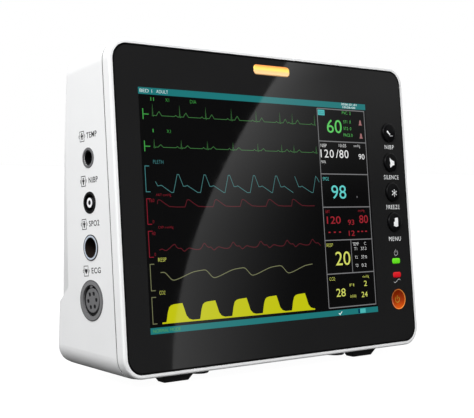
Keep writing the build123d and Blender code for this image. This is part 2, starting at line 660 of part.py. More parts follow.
def lan_jack():
    """Network jack with a stepped mouth."""
    y1 = rear_y(LAN_Z + LAN_H / 2)
    body = block(
        LAN_X - LAN_W / 2 + 0.1, LAN_X + LAN_W / 2 - 0.1, y1 - LAN_DEPTH, y1,
        LAN_Z - LAN_H / 2 + 0.1, LAN_Z + LAN_H / 2 - 0.1,
    )
    mouth = block(LAN_X - 5.9, LAN_X + 5.9, y1 - 13, 60, LAN_Z - 2.5, LAN_Z + 5.0)
    latch = block(LAN_X - 3.2, LAN_X + 3.2, y1 - 13, 60, LAN_Z - 5.0, LAN_Z - 2.5)
    return body - mouth - latch


def ground_stud():
    """Equipotential pin with its nut, in a round pocket."""
    seat = FLANGE_Y - STUD_POCKET_DEPTH
    stud = disc(STUD_X, STUD_Z, STUD_R, seat - 4, FLANGE_Y)
    stud = chamfer(stud.faces().sort_by(Axis.Y)[-1].edges(), 0.6)
    return stud + slab(Pos(STUD_X, STUD_Z) * RegularPolygon(5.2, 6), seat, seat + 2.4)


def case_screws():
    """Four screws from the rear into the bezel posts."""
    group = Part()
    for x, z in SCREW_SPOTS:
        group += disc(x, z, SCREW_R - 0.25, 15, SCREW_Y1)
        head = disc(x, z, SCREW_HEAD_R, SCREW_Y1, SCREW_Y1 + 2.4)
        group += head - slab(Pos(x, z) * RegularPolygon(1.4, 6), SCREW_Y1 + 1, SCREW_Y1 + 5)
    return front(group)


def mount_inserts():
    """Four threaded brass inserts in the rear pad."""
    group = Part()
    for x, z in INSERT_SPOTS:
        sleeve = disc(x, z, INSERT_R, REAR_Y - INSERT_L, REAR_Y)
        group += sleeve - disc(x, z, INSERT_BORE_R, 0, 60)
    return group


# ---------------------------------------------------------------- feet
FOOT_TOP, FOOT_BOTTOM = (22.0, 9.5), (16.0, 6.2)
PAD_XS = {"left": -72.7, "right": 68.2}
ROUND_XS = {"left": -47.8, "right": 58.2}
FRONT_FOOT_Y, REAR_FOOT_Y, ROUND_Y = -22.2, 17.5, -10.0


def pad_foot(x, y):
    """Rubber pad that narrows towards the floor."""
    top = Pos(x, y, FOOT_H) * RectangleRounded(*FOOT_TOP, 0.8)
    low = Pos(x, y, 0) * RectangleRounded(*FOOT_BOTTOM, 0.8)
    return loft([low.face(), top.face()], ruled=True)


def round_foot(x):
    body = Pos(x, ROUND_Y, FOOT_H / 2) * Cylinder(6.8, FOOT_H)
    return fillet(body.faces().sort_by(Axis.Z)[0].edges(), 0.4)


# ---------------------------------------------------------------- write every node
def main():
    save("rear_case", rear_case())
    save("front_bezel", front_bezel())
    save("front_panel", front_panel())
    save("panel_print", panel_print())
    save("seam_gasket", seam_gasket())
    for name, z in zip(KEY_NAMES, KEY_ZS):
        save(f"{name}_key", power_cap(z) if name == "power" else key_cap(z))
        save(f"{name}_plunger", plunger(z))
    save("tact_switches", tact_switches())
    save("key_board", key_board())
    save("indicator_leds", indicator_leds())
    save("green_lens", led_lens(GREEN_LED_Z))
    save("red_lens", led_lens(RED_LED_Z))
    save("alarm_lens", alarm_lens())
    save("alarm_board", alarm_board())
    save("lcd_frame", lcd_frame())
    save("lcd_cell", lcd_cell())
    save("lcd_backlight", lcd_backlight())
    save("chassis_plate", chassis_plate())
    save("standoffs", standoffs())
    save("main_board", main_board())
    save("main_board_parts", main_board_parts())
    save("power_board", power_board())
    save("power_parts", power_parts())
    save("battery_pack", battery_pack())
    save("battery_bay", battery_bay())
    save("battery_door", battery_door())
    save("nibp_pump", nibp_pump())
    save("nibp_valve", nibp_valve())
    save("nibp_tube", nibp_tube())
    save("parameter_module", parameter_module())
    save("speaker", speaker())
    save("temp_nut", temp_nut())
    save("temp_jack", temp_jack())
    save("nibp_collar", nibp_collar())
    save("nibp_nipple", nibp_nipple())
    save("spo2_ring", spo2_ring())
    save("spo2_insert", spo2_insert())
    save("ecg_shell", ecg_shell())
    save("ecg_insert", ecg_insert())
    save("ac_inlet", ac_inlet())
    save("ac_pins", ac_pins())
    save("lan_jack", lan_jack())
    save("ground_stud", ground_stud())
    save("case_screws", case_screws())
    save("mount_inserts", mount_inserts())
    for side, x in PAD_XS.items():
        save(f"front_foot_{side}", pad_foot(x, FRONT_FOOT_Y))
        save(f"rear_foot_{side}", pad_foot(x, REAR_FOOT_Y))
    for side, x in ROUND_XS.items():
        save(f"round_foot_{side}", round_foot(x))


main()
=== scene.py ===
"""Looks of the bedside patient monitor: materials, display picture, printed legends, studio and camera."""

import json
import math

import bpy
from mathutils import Matrix, Vector

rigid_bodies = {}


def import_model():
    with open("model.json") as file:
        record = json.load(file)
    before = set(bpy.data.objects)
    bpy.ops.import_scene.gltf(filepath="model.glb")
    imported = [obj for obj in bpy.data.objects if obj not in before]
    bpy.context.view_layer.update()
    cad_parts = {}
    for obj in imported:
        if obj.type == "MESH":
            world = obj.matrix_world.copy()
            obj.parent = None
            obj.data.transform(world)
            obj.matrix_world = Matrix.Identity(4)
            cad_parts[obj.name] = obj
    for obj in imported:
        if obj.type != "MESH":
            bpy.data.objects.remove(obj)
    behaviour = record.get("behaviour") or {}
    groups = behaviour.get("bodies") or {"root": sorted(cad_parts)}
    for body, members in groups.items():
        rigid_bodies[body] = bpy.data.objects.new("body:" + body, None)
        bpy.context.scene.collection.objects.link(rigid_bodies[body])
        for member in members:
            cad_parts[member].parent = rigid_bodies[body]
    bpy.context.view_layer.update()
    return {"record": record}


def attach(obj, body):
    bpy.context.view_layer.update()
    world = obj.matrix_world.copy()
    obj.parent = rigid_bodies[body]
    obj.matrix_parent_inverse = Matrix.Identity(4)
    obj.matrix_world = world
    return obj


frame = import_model()
MM = 0.001

# ---------------------------------------------------------------- the front frame
PANEL_TILT = math.radians(6.9)  # the panel leans back by this
PANEL_CENTRE = Vector((0, -22.578, 91.191)) * MM
PICTURE_CENTRE, PICTURE_SCALE = (-9.05, -1.30), 0.9937  # the lit picture on the panel's face, mm
SIDE_X = -110.75  # left wall, mm


def on_front(x, y, z):
    """Millimetres in the panel's frame (x right, y into the casing, z up the panel) to world metres."""
    c, s = math.cos(PANEL_TILT), math.sin(PANEL_TILT)
    return PANEL_CENTRE + Vector((x, y * c + z * s, z * c - y * s)) * MM


# ---------------------------------------------------------------- materials
def new_material(name):
    mat = bpy.data.materials.new(name)
    mat.use_nodes = True
    tree = mat.node_tree
    return mat, tree, tree.nodes["Principled BSDF"]


def noise(tree, coord, scale, detail=4.0, stretch=(1, 1, 1)):
    """A noise texture over object coordinates, scale in features per metre."""
    mapping = tree.nodes.new("ShaderNodeMapping")
    mapping.inputs["Scale"].default_value = stretch
    tree.links.new(coord, mapping.inputs["Vector"])
    tex = tree.nodes.new("ShaderNodeTexNoise")
    tex.inputs["Scale"].default_value = scale
    tex.inputs["Detail"].default_value = detail
    tree.links.new(mapping.outputs["Vector"], tex.inputs["Vector"])
    return tex.outputs["Fac"]


def remap(tree, value, low, high, start=0.3, end=0.7):
    node = tree.nodes.new("ShaderNodeMapRange")
    for socket, number in (("From Min", start), ("From Max", end), ("To Min", low), ("To Max", high)):
        node.inputs[socket].default_value = number
    tree.links.new(value, node.inputs["Value"])
    return node.outputs["Result"]


def ramp(tree, value, stops):
    """Colour ramp with (position, rgb) stops."""
    node = tree.nodes.new("ShaderNodeValToRGB")
    elements = node.color_ramp.elements
    while len(elements) < len(stops):
        elements.new(0.5)
    for element, (position, rgb) in zip(elements, stops):
        element.position = position
        element.color = (*rgb, 1)
    tree.links.new(value, node.inputs["Fac"])
    return node.outputs["Color"]


def shade(rgb, factor):
    return tuple(min(1.0, c * factor) for c in rgb)


def surface(name, rgb, rough, grain=2500, bump=0.06, depth=0.00003, mottle=0.03, spread=0.06,
            metal=0.0, stretch=(1, 1, 1), coat=0.0, alpha=1.0, glow=None, strength=0.0, sub=0.0, level=0.5):
    """Moulded, lacquered or rolled surface: colour mottle, uneven gloss and fine relief."""
    mat, tree, bsdf = new_material(name)
    coord = tree.nodes.new("ShaderNodeTexCoord").outputs["Object"]
    broad = noise(tree, coord, 35, 3)
    fine = noise(tree, coord, grain, 3, stretch)
    colour = ramp(tree, broad, [(0.3, shade(rgb, 1 - mottle)), (0.7, shade(rgb, 1 + mottle))])
    tree.links.new(colour, bsdf.inputs["Base Color"])
    gloss = noise(tree, coord, 120, 5, stretch)
    tree.links.new(remap(tree, gloss, max(0.0, rough - spread), rough + spread), bsdf.inputs["Roughness"])
    relief = tree.nodes.new("ShaderNodeBump")
    relief.inputs["Strength"].default_value = bump
    relief.inputs["Distance"].default_value = depth
    tree.links.new(fine, relief.inputs["Height"])
    tree.links.new(relief.outputs["Normal"], bsdf.inputs["Normal"])
    bsdf.inputs["Metallic"].default_value = metal
    bsdf.inputs["Specular IOR Level"].default_value = level
    bsdf.inputs["Coat Weight"].default_value = coat
    bsdf.inputs["Alpha"].default_value = alpha
    bsdf.inputs["Subsurface Weight"].default_value = sub
    bsdf.inputs["Subsurface Radius"].default_value = (0.002, 0.002, 0.002)
    if glow:
        bsdf.inputs["Emission Color"].default_value = (*glow, 1)
        bsdf.inputs["Emission Strength"].default_value = strength
    return mat


def lens(name, stops, glow, strength, level=0.5):
    """Translucent moulded lens, lit from behind, with its colour graded from lower to upper edge."""
    mat = surface(name, stops[0][1], 0.2, grain=1500, bump=0.03, glow=glow, strength=strength, level=level)
    tree = mat.node_tree
    bsdf = tree.nodes["Principled BSDF"]
    split = tree.nodes.new("ShaderNodeSeparateXYZ")
    tree.links.new(tree.nodes.new("ShaderNodeTexCoord").outputs["Generated"], split.inputs["Vector"])
    tree.links.new(ramp(tree, split.outputs["Z"], stops), bsdf.inputs["Base Color"])
    return mat


def board(name):
    """Green solder mask with copper runs under it and bare pads."""
    mat = surface(name, (0.02, 0.13, 0.06), 0.35, grain=900, bump=0.1)
    tree = mat.node_tree
    bsdf = tree.nodes["Principled BSDF"]
    coord = tree.nodes.new("ShaderNodeTexCoord").outputs["Object"]
    runs = tree.nodes.new("ShaderNodeTexBrick")
    runs.inputs["Scale"].default_value = 180
    runs.inputs["Mortar Size"].default_value = 0.05
    tones = (("Color1", (0.02, 0.13, 0.06)), ("Color2", (0.025, 0.16, 0.07)), ("Mortar", (0.05, 0.24, 0.1)))
    for socket, rgb in tones:
        runs.inputs[socket].default_value = (*rgb, 1)
    tree.links.new(coord, runs.inputs["Vector"])
    dots = tree.nodes.new("ShaderNodeTexVoronoi")
    dots.inputs["Scale"].default_value = 260
    tree.links.new(coord, dots.inputs["Vector"])
    mix = tree.nodes.new("ShaderNodeMix")
    mix.data_type = "RGBA"
    mix.inputs["B"].default_value = (0.6, 0.5, 0.25, 1)
    tree.links.new(remap(tree, dots.outputs["Distance"], 1, 0, 0.10, 0.14), mix.inputs["Factor"])
    tree.links.new(runs.outputs["Color"], mix.inputs["A"])
    tree.links.new(mix.outputs["Result"], bsdf.inputs["Base Color"])
    return mat


def light_paint(name, rgb, strength):
    """Lit part of the picture under the panel's gloss."""
    return surface(name, shade(rgb, 0.03), 0.035, grain=60, bump=0.004, spread=0.012,
                   glow=rgb, strength=strength)


def socket_plastic(name, rgb, rough, bump=0.12, level=0.3):
    """Fine-grained moulding of the sockets."""
    return surface(name, rgb, rough, grain=2200, bump=bump, level=level)


def legend_ink(name, rgb, level=0.5):
    """Matt printing ink."""
    return surface(name, rgb, 0.5, grain=3500, bump=0.08, level=level)


ink_white = legend_ink("legend_white", (0.94, 0.95, 0.96))
ink_dim = legend_ink("legend_dim", (0.30, 0.30, 0.31))
ink_grey = legend_ink("legend_grey", (0.012, 0.012, 0.014), 0.2)
ink_faint = legend_ink("legend_faint", (0.55, 0.56, 0.57))
# painted shade: black matt sheets for the shade in the sockets' gaps, groove and holes
painted_shade_ink = legend_ink("painted_shade_black", (0.008, 0.008, 0.009), 0.1)
MATERIALS = {
    "white_case": surface("white_case_abs", (0.83, 0.835, 0.84), 0.36, grain=3000, bump=0.10, mottle=0.012,
                          sub=0.05),
    "clear_panel": surface("panel_hard_coat", (0.004, 0.004, 0.005), 0.025, grain=60, bump=0.004, mottle=0.05,
                           spread=0.012, alpha=0.35),
    "black_print": surface("panel_print_black", (0.030, 0.030, 0.031), 0.5, mottle=0.06),
    "dark_rubber": surface("rubber_black", (0.010, 0.010, 0.011), 0.62, grain=1800, bump=0.35, depth=0.00008),
    "key_black": surface("key_gloss_black", (0.0035, 0.0035, 0.004), 0.24, grain=2000, bump=0.05, level=0.14),
    # painted shade and light in the power key's dish: darker towards its upper edge, brighter towards its
    # lower
    "key_orange": lens("key_amber_dish_shaded",
                       [(0.12, (0.62, 0.085, 0.001)), (0.45, (0.30, 0.028, 0.001)),
                        (0.85, (0.15, 0.009, 0.001))],
                       (1.0, 0.10, 0.001), 0.06, 0.12),
    "switch_plastic": surface("switch_moulded", (0.03, 0.03, 0.032), 0.5),
    "board_green": board("board_mask"),
    "lamp_white": surface("lamp_body", (0.8, 0.8, 0.7), 0.3),
    # painted highlight on the green and red lenses: darker towards the lower edge, brighter towards the upper
    "lens_green": lens("lens_green_lit", [(0.1, (0.05, 0.30, 0.01)), (0.8, (0.12, 0.50, 0.02))],
                       (0.09, 0.64, 0.001), 0.55, 0.3),
    "lens_red": lens("lens_red_lit", [(0.1, (0.30, 0.0, 0.008)), (0.8, (0.5, 0.015, 0.02))],
                     (0.72, 0.002, 0.008), 0.37, 0.3),
    "lens_amber": lens("lens_amber_lit",
                       [(0.1, (1.0, 0.72, 0.42)), (0.42, (1.0, 0.60, 0.28)), (0.62, (1.0, 0.85, 0.16)),
                        (0.82, (1.0, 0.6, 0.1)), (0.95, (0.8, 0.22, 0.05))],
                       (1.0, 0.5, 0.12), 0.28),
    "sheet_metal": surface("sheet_zinc", (0.55, 0.56, 0.57), 0.36, grain=500, metal=1.0, stretch=(1, 1, 18),
                           bump=0.15),
    "display_glass": surface("display_black", (0.004, 0.004, 0.005), 0.4, grain=4000, bump=0.03),
    "backlight_white": surface("backlight_tray", (0.75, 0.75, 0.75), 0.5),
    "power_dark": surface("power_lacquer", (0.06, 0.06, 0.065), 0.45, bump=0.2),
    "battery_blue": surface("battery_wrap", (0.03, 0.1, 0.3), 0.3, grain=300, bump=0.3, depth=0.0002),
    "bay_grey": surface("bay_moulded", (0.3, 0.3, 0.31), 0.5),
    "pump_metal": surface("pump_plated", (0.5, 0.5, 0.52), 0.3, grain=500, metal=1.0, stretch=(18, 18, 1),
                          bump=0.15),
    "hose_silicone": surface("hose_clear_silicone", (0.62, 0.62, 0.6), 0.4, sub=0.3),
    "speaker_black": surface("speaker_basket", (0.02, 0.02, 0.02), 0.6, bump=0.3),
    "socket_grey": socket_plastic("socket_grey_moulded", (0.185, 0.185, 0.19), 0.36),
    "insert_grey": socket_plastic("insert_grey_moulded", (0.15, 0.15, 0.155), 0.45),
    "socket_black": socket_plastic("socket_black_moulded", (0.004, 0.004, 0.0045), 0.4, 0.1, 0.1),
    "bright_metal": surface("nickel_bright", (0.86, 0.87, 0.9), 0.2, grain=700, metal=1.0, stretch=(12, 1, 1),
                            bump=0.08),
    "brass_metal": surface("brass_turned", (0.72, 0.52, 0.22), 0.25, grain=700, metal=1.0, stretch=(1, 12, 1),
                           bump=0.1),
}
OWN = {  # nodes whose look isn't the one that their slot has elsewhere
    "temp_nut": socket_plastic("probe_nut_grey", (0.13, 0.13, 0.135), 0.4),
    "nibp_nipple": socket_plastic("nipple_shaded", (0.05, 0.05, 0.052), 0.35, 0.08),
    "spo2_ring": socket_plastic("oximeter_shell_brown", (0.020, 0.015, 0.013), 0.4, 0.08, 0.2),
    "seam_gasket": surface("gasket_black", (0.003, 0.003, 0.003), 0.8, grain=1800, bump=0.2, level=0.05),
    "spo2_insert": socket_plastic("oximeter_core_brown", (0.020, 0.014, 0.012), 0.5, 0.1, 0.1),
}
for subpart in frame["record"]["subparts"]:
    node = bpy.data.objects[subpart["node"]]
    for material_slot in node.material_slots:
        material_slot.material = OWN.get(subpart["node"]) or MATERIALS[subpart["material_slot"]]


# ---------------------------------------------------------------- flat printed and lit shapes
def flat_mesh(curve):
    """The filled mesh of a text or outline; the curve is used up."""
    holder = bpy.data.objects.new("outline", curve)
    bpy.context.scene.collection.objects.link(holder)
    bpy.context.view_layer.update()
    mesh = bpy.data.meshes.new_from_object(holder)
    bpy.data.objects.remove(holder)
    bpy.data.curves.remove(curve)
    return mesh


class Ink:
    """Thin shapes laid on a surface; place(x, z) gives the world point of a flat point in millimetres."""

    def __init__(self, name, mat, slot, place, body="housing"):
        self.name, self.mat, self.slot, self.place, self.body = name, mat, slot, place, body
        self.points, self.faces = [], []

    def poly(self, outline):
        start = len(self.points)
        self.points += outline
        self.faces.append(tuple(range(start, start + len(outline))))

    def bar(self, x0, x1, z0, z1):
        self.poly([(x0, z0), (x1, z0), (x1, z1), (x0, z1)])

    def fan(self, x, z, outline):
        """A convex or star-shaped outline filled from a middle point, to follow a curved surface."""
        start = len(self.points)
        self.points += [(x, z)] + list(outline)
        count = len(outline)
        self.faces += [(start, start + 1 + i, start + 1 + (i + 1) % count) for i in range(count)]

    def strip(self, line, width, closed=False):
        """A mitred band along a line of points."""
        count = len(line)
        start = len(self.points)
        for i, (x, z) in enumerate(line):
            before = line[i - 1] if closed or i else line[0]
            after = line[(i + 1) % count] if closed or i < count - 1 else line[-1]
            d1 = Vector((x - before[0], z - before[1]))
            d2 = Vector((after[0] - x, after[1] - z))
            d1 = d1.normalized() if d1.length else d2.normalized()
            d2 = d2.normalized() if d2.length else d1
            n1, n2 = Vector((-d1.y, d1.x)), Vector((-d2.y, d2.x))
            mitre = (n1 + n2).normalized() if (n1 + n2).length > 0.01 else n1
            reach = width / 2 / max(0.45, mitre.dot(n1))
            self.points.append((x + mitre.x * reach, z + mitre.y * reach))
            self.points.append((x - mitre.x * reach, z - mitre.y * reach))
        for i in range(count if closed else count - 1):
            a, b = start + 2 * i, start + 2 * ((i + 1) % count)
            self.faces.append((a, a + 1, b + 1, b))

    def band(self, outer, inner):
        """The area between two closed outlines with as many points."""
        start, count = len(self.points), len(outer)
        self.points += list(outer) + list(inner)
        for i in range(count):
            j = (i + 1) % count
            self.faces.append((start + i, start + j, start + count + j, start + count + i))

    def ring(self, x, z, rx, rz, width, start=0, end=360, steps=32):
        closed = end - start >= 360
        count = steps if closed else steps + 1
        angles = [math.radians(start + (end - start) * i / steps) for i in range(count)]
        self.strip([(x + rx * math.cos(a), z + rz * math.sin(a)) for a in angles], width, closed)

    def text(self, words, x0, x1, z0, z1, gap=1.0, weight=None):
        """Lettering fitted to the box x0..x1, z0..z1, with thinner strokes where it is small."""
        if weight is None:
            weight = -0.015 if z1 - z0 < 2.2 else 0.0
        curve = bpy.data.curves.new("lettering", "FONT")
        curve.body, curve.size, curve.resolution_u = words, 1, 4
        curve.offset, curve.space_character = weight, gap
        mesh = flat_mesh(curve)
        xs, zs = [v.co.x for v in mesh.vertices], [v.co.y for v in mesh.vertices]
        low_x, low_z = min(xs), min(zs)
        sx, sz = (x1 - x0) / (max(xs) - low_x), (z1 - z0) / (max(zs) - low_z)
        self.add_mesh(mesh, lambda x, z: (x0 + (x - low_x) * sx, z0 + (z - low_z) * sz))

    def sheet(self, outlines):
        """A flat sheet: the first outline is its edge and the others are holes in it."""
        curve = bpy.data.curves.new("outline", "CURVE")
        curve.dimensions, curve.fill_mode = "2D", "BOTH"
        for outline in outlines:
            spline = curve.splines.new("POLY")
            spline.points.add(len(outline) - 1)
            for point, (x, z) in zip(spline.points, outline):
                point.co = (x, z, 0, 1)
            spline.use_cyclic_u = True
        self.add_mesh(flat_mesh(curve), lambda x, z: (x, z))

    def add_mesh(self, mesh, fit):
        start = len(self.points)
        self.points += [fit(v.co.x, v.co.y) for v in mesh.vertices]
        self.faces += [tuple(start + i for i in face.vertices) for face in mesh.polygons]
        bpy.data.meshes.remove(mesh)

    def done(self):
        mesh = bpy.data.meshes.new(self.name)
        mesh.from_pydata([self.place(x, z) for x, z in self.points], [], self.faces)
        mesh.materials.append(self.mat)
        piece = bpy.data.objects.new(self.name, mesh)
        bpy.context.scene.collection.objects.link(piece)
        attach(piece, self.body)
        return piece


# ---------------------------------------------------------------- the panel's face and the display's picture
KEY_X = 95.0  # the keys' and indicators' column, mm from the panel's middle
KEY_Z = {"nibp": 45.3, "silence": 26.7, "freeze": 8.1, "menu": -10.5, "power": -58.3}
KEY_R, CROWN_Y, CROWN_RISE = 5.85, -2.0, 0.6  # radius, place of the crown's top and its rise, mm
POWER_R, DISH_Y, DISH_DEPTH = 6.35, -0.15, 1.3  # radius, place of the dish's rim and its depth, mm
KEY_GAP, POWER_GAP = 0.2, 0.12  # round the keys in the black face, mm
CROWN_LIFT, DISH_LIFT = 0.14, 0.05  # of the symbols above the keys' faces, mm
LED_Z, LED_HALF = (-34.6, -43.2), (3.7, 1.8, 1.3)  # half width, half height and corner radius, mm
ALARM_Z, ALARM_HALF = 77.5, (13.85, 2.95, 2.3)
FACE_HALF = (108.45, 84.45, 8.95)  # half width, half height and corner radius of the black face, mm
EDGE_LINE = 0.9  # width of the darker line of painted shade at its edge, mm
FACE_Y, EDGE_LINE_Y, LEGEND_Y, PICTURE_Y = -0.05, -0.07, -0.09, -0.11  # layers over the panel's face, mm
CASING_HALF = (110.75, 86.75, 11.25)  # half width, half height and corner radius of the rim, mm
SEAM_DEPTHS, SEAM_SINK = (5.62, 6.3), 0.2  # behind the panel's face, and below the casing's wall, mm


def rounded(w, h, r, x=0.0, z=0.0, steps=10):
    """Outline of a rounded rectangle with half sizes w and h round (x, z)."""
    line = []
    for cx, cz, start in ((w - r, h - r, 0), (r - w, h - r, 90), (r - w, r - h, 180), (w - r, r - h, 270)):
        for i in range(steps + 1):
            a = math.radians(start + 90 * i / steps)
            line.append((x + cx + r * math.cos(a), z + cz + r * math.sin(a)))
    return line


def panel_face():
    """Glossy black face of the panel with openings for keys and lenses, and a darker line at its edge,
    painted shade of its bevelled edge.
    """
    gloss = surface("panel_face_gloss", (0.0148, 0.0148, 0.0151), 0.03, grain=60, bump=0.004, spread=0.01)
    face = Ink("panel_face", gloss, "black_print", lambda x, z: on_front(x, FACE_Y, z))
    holes = []
    for key, z in KEY_Z.items():
        r = POWER_R + POWER_GAP if key == "power" else KEY_R + KEY_GAP
        holes.append(rounded(r, r, r, KEY_X, z))
    holes += [rounded(*LED_HALF, KEY_X, z) for z in LED_Z]
    holes.append(rounded(*ALARM_HALF, 0, ALARM_Z))
    w, h, r = FACE_HALF
    face.sheet([rounded(w, h, r)] + holes)
    face.done()
    # painted shade: a darker band round the face's edge
    dark = surface("panel_edge_painted_shade", (0.003, 0.003, 0.003), 0.2, grain=60, bump=0.004, level=0.1)
    line = Ink("panel_edge_shade_line", dark, "black_print", lambda x, z: on_front(x, EDGE_LINE_Y, z))
    line.band(rounded(w, h, r), rounded(w - EDGE_LINE, h - EDGE_LINE, r - EDGE_LINE))
    line.done()


panel_face()


def seam_shade():
    """Dark band in the seam between the casing halves, just below the surface."""
    line = rounded(*(size - SEAM_SINK for size in CASING_HALF))
    mat = surface("seam_shade_grey", (0.03, 0.03, 0.03), 0.8, grain=1800, bump=0.1, level=0.1)
    mesh = bpy.data.meshes.new("seam_shade")
    near, far = SEAM_DEPTHS
    points = [on_front(x, y, z) for y in (near, far) for x, z in line]
    count = len(line)
    faces = [(i, (i + 1) % count, count + (i + 1) % count, count + i) for i in range(count)]
    mesh.from_pydata(points, [], faces)
    mesh.materials.append(mat)
    band = bpy.data.objects.new("seam_shade", mesh)
    bpy.context.scene.collection.objects.link(band)
    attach(band, "housing")


seam_shade()
LEFT, RIGHT, TOP, BOTTOM = -85.2, 85.2, 63.9, -63.9  # the lit picture's edges, mm
BAR_FOOT, BAR_HEAD = 60.3, -60.6  # lower edge of the header bar and upper edge of the footer bar, mm
COLUMN = 43.4  # left edge of the numbers' column


def on_screen(lift=0.0):
    """Picture millimetres to world metres, lift mm in front of the picture's usual layer."""
    middle_x, middle_z = PICTURE_CENTRE
    return lambda x, z: on_front(middle_x + x * PICTURE_SCALE, PICTURE_Y - lift, middle_z + z * PICTURE_SCALE)


def lit(name, rgb, strength, lift=0.0):
    return Ink(name, light_paint(name + "_light", rgb, strength), "display_glass", on_screen(lift))


def smooth(points, steps=6):
    """Rounded line through the given points."""
    line = []
    for i in range(len(points) - 1):
        p0, p1, p2, p3 = (Vector(points[min(max(j, 0), len(points) - 1)]) for j in range(i - 1, i + 3))
        for k in range(steps):
            t = k / steps
            q = 0.5 * (2 * p1 + (p2 - p0) * t + (2 * p0 - 5 * p1 + 4 * p2 - p3) * t * t
                       + (3 * p1 - p0 - 3 * p2 + p3) * t ** 3)
            line.append((q.x, q.y))
    return line + [tuple(points[-1])]


def heart_trace(ink, base, beats, spike, wave):
    """Heart trace with a small first bump, a sharp spike and a round wave for each beat."""
    line = [(beats[0] - 0.1, base)]
    for x in beats:
        line += [(x - 3.6, base), (x - 2.7, base + 0.7), (x - 1.9, base)] if x != beats[0] else []
        line += [(x - 0.3, base - 0.2), (x, base + spike), (x + 0.3, base - 0.5), (x + 0.7, base)]
        if x != beats[-1]:
            line += [(x + 2.4, base), (x + 3.3, base + wave * 0.6), (x + 4.2, base + wave)]
            line += [(x + 5.0, base + wave * 0.5), (x + 5.8, base)]
    ink.strip(line, 0.29)


def bracket(ink, top, bottom):
    ink.strip([(-80.7, top), (-83.4, top), (-83.4, bottom), (-80.7, bottom)], 0.38)


BEATS = [-76.7, -59.0, -41.3, -23.2, -5.0, 13.1, 22.8, 40.8]  # places of the heart trace's spikes, mm
BOX_LINES = [59.4, 39.9, 20.3, 0.5, -19.2, -39.1, -59.0]  # lines between the number boxes, mm


def screen_ground():
    """Black ground of the picture, and its header and footer bars."""
    back_mat = surface("display_black", (0.0046, 0.0046, 0.0048), 0.03, grain=60, bump=0.004, spread=0.01)
    back = Ink("screen_back", back_mat, "display_glass", on_screen(-0.03))
    back.bar(LEFT, RIGHT, BOTTOM, TOP)
    back.done()
    bars = lit("screen_bars", (0.014, 0.175, 0.18), 1.0)
    bars.bar(LEFT, RIGHT, BAR_FOOT, TOP)
    bars.bar(LEFT, RIGHT, BOTTOM, BAR_HEAD)
    bars.done()


def number_boxes():
    grid = lit("screen_boxes", (0.19, 0.19, 0.195), 1.0)
    for z in BOX_LINES:
        grid.bar(COLUMN, 84.0, z - 0.28, z + 0.28)
    for x in (COLUMN, 83.7):
        grid.bar(x - 0.25, x + 0.25, BOX_LINES[-1], BOX_LINES[0])
    grid.bar(64.95, 65.4, -39.1, -19.2)
    grid.bar(72.7, 73.3, 6.1, 7.1)
    grid.done()


def heart_rows():
    green = lit("screen_green_traces", (0.05, 0.18, 0.05), 1.0)
    heart_trace(green, 49.4, BEATS, 6.0, 2.2)
    heart_trace(green, 32.8, BEATS, 3.9, 1.3)
    green.done()
    green = lit("screen_green_marks", (0.05, 0.33, 0.06), 1.0)
    for z in (49.9, 33.1):
        green.bar(-83.2, -82.6, z - 2.7, z + 2.9)
        green.bar(-82.6, -79.3, z - 0.25, z + 0.25)
    for words, x0, x1, z in (("II", -77.6, -75.4, 58), ("X1", -68.0, -65.6, 58), ("DIA", -51.6, -47.4, 58),
                             ("I", -77.3, -76.7, 41.4), ("X1", -68.2, -65.6, 41.4)):
        green.text(words, x0, x1, z - 0.9, z + 0.9)
    green.done()


def pulse_row():
    cyan = lit("screen_cyan_traces", (0.055, 0.18, 0.18), 1.0)
    pulse = [(-3.5, 9.1), (-0.6, 18.6), (0.5, 18.6), (3.1, 12.4), (4.4, 12.4), (5.8, 12.8), (12.6, 9.1)]
    line = [(-77.2, 14.8), (-75.9, 12.5), (-73.4, 12.8), (-67.3, 9.1)]
    for x in (-62.3, -44.3, -27.3, -9.1, 7.6):
        line += [(x + dx, z) for dx, z in pulse]
    cyan.strip(line, 0.36)
    cyan.strip([(22.0, 18.6), (24.7, 12.6), (26.2, 12.5), (27.4, 12.9), (34.9, 9.2), (36.1, 9.2),
                (38.9, 18.8), (40.2, 17.6), (41.6, 15.4)], 0.36)
    cyan.done()
    cyan = lit("screen_cyan_marks", (0.055, 0.22, 0.23), 1.0)
    bracket(cyan, 22.8, 9.4)
    cyan.text("PLETH", -78.0, -71.4, 24.1, 26.0)
    cyan.done()


def pressure_rows():
    """Two pressure traces with their scales."""
    red = lit("screen_red_traces", (0.10, 0.011, 0.017), 1.0)
    line = [(-76.7, 3.0)]
    for i in range(6):
        x = -76.4 + 19.1 * i + (0.6 if i == 4 else 0)
        line += [(x, 4.9), (x + 0.8, 5.3), (x + 2.0, 4.9), (x + 5.0, 3.0), (x + 7.4, 1.7)]
        line += [(x + 12, 1.4), (x + 17.6, 1.4)]
    red.strip([p for p in line if p[0] < 41.5], 0.4)
    ripple = [(0, -18.2), (1.6, -19.6), (3.0, -20.4), (4.6, -20.4), (6.5, -22.0), (8.6, -20.9),
              (10.2, -20.4), (13.5, -21.2), (17.4, -21.1)]
    line = [(-77.0, -20.9), (-75.1, -20.4), (-72.3, -21.2)]
    for i in range(6):
        line += [(-67.4 + 20.1 * i + dx, z) for dx, z in ripple]
    red.strip(smooth([p for p in line if p[0] < 41.5], 3), 0.4)
    red.done()
    red = lit("screen_red_marks", (0.25, 0.013, 0.026), 1.0)
    bracket(red, 5.8, -7.4)
    bracket(red, -11.0, -24.4)
    for words, x0, x1, z in (
        ("ART mmHg", -77.3, -67.6, 7.6), ("CVP mmHg", -77.0, -67.2, -9.3), ("160", -81.6, -78.6, 4.9),
        ("0", -80.2, -79.4, -6.0), ("40", -81.2, -79.0, -12.2), ("0", -80.2, -79.4, -23.0),
    ):
        red.text(words, x0, x1, z - 0.85, z + 0.85)
    red.done()


